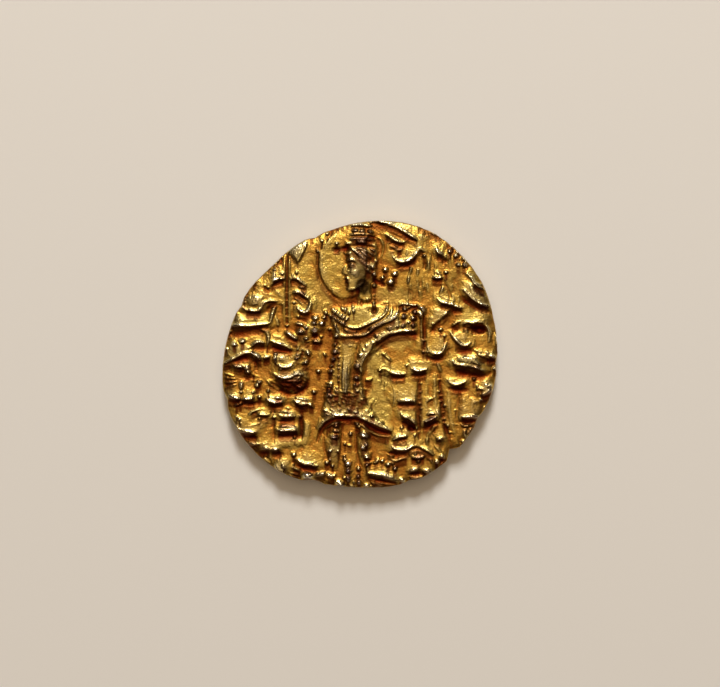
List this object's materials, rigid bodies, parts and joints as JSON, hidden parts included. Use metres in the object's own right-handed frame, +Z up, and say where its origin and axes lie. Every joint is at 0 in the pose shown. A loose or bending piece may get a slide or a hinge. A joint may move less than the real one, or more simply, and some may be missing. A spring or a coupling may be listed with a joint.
{
  "type": "gold coin",
  "caption": "Hand-struck ancient gold coin lying flat: uneven round flan, low relief of a standing haloed ruler with altar, trident and standard, border of worn strokes.",
  "frame": {"origin": "middle of the coin's outline, on the plane that its worn reverse rests on", "axes": "+Z up out of the obverse; +Y to the top of the obverse, where the ruler's head is; +X to the obverse's right, along the coin's longest extent"},
  "size_m": [0.022, 0.0214, 0.002],
  "materials": {
    "gold": "old struck gold, a little debased with silver and copper: warm yellow high points, red-brown stain in the recesses, soft satin wear"
  },
  "bodies": {
    "root": {"coin": "gold"}
  },
  "joints": []
}
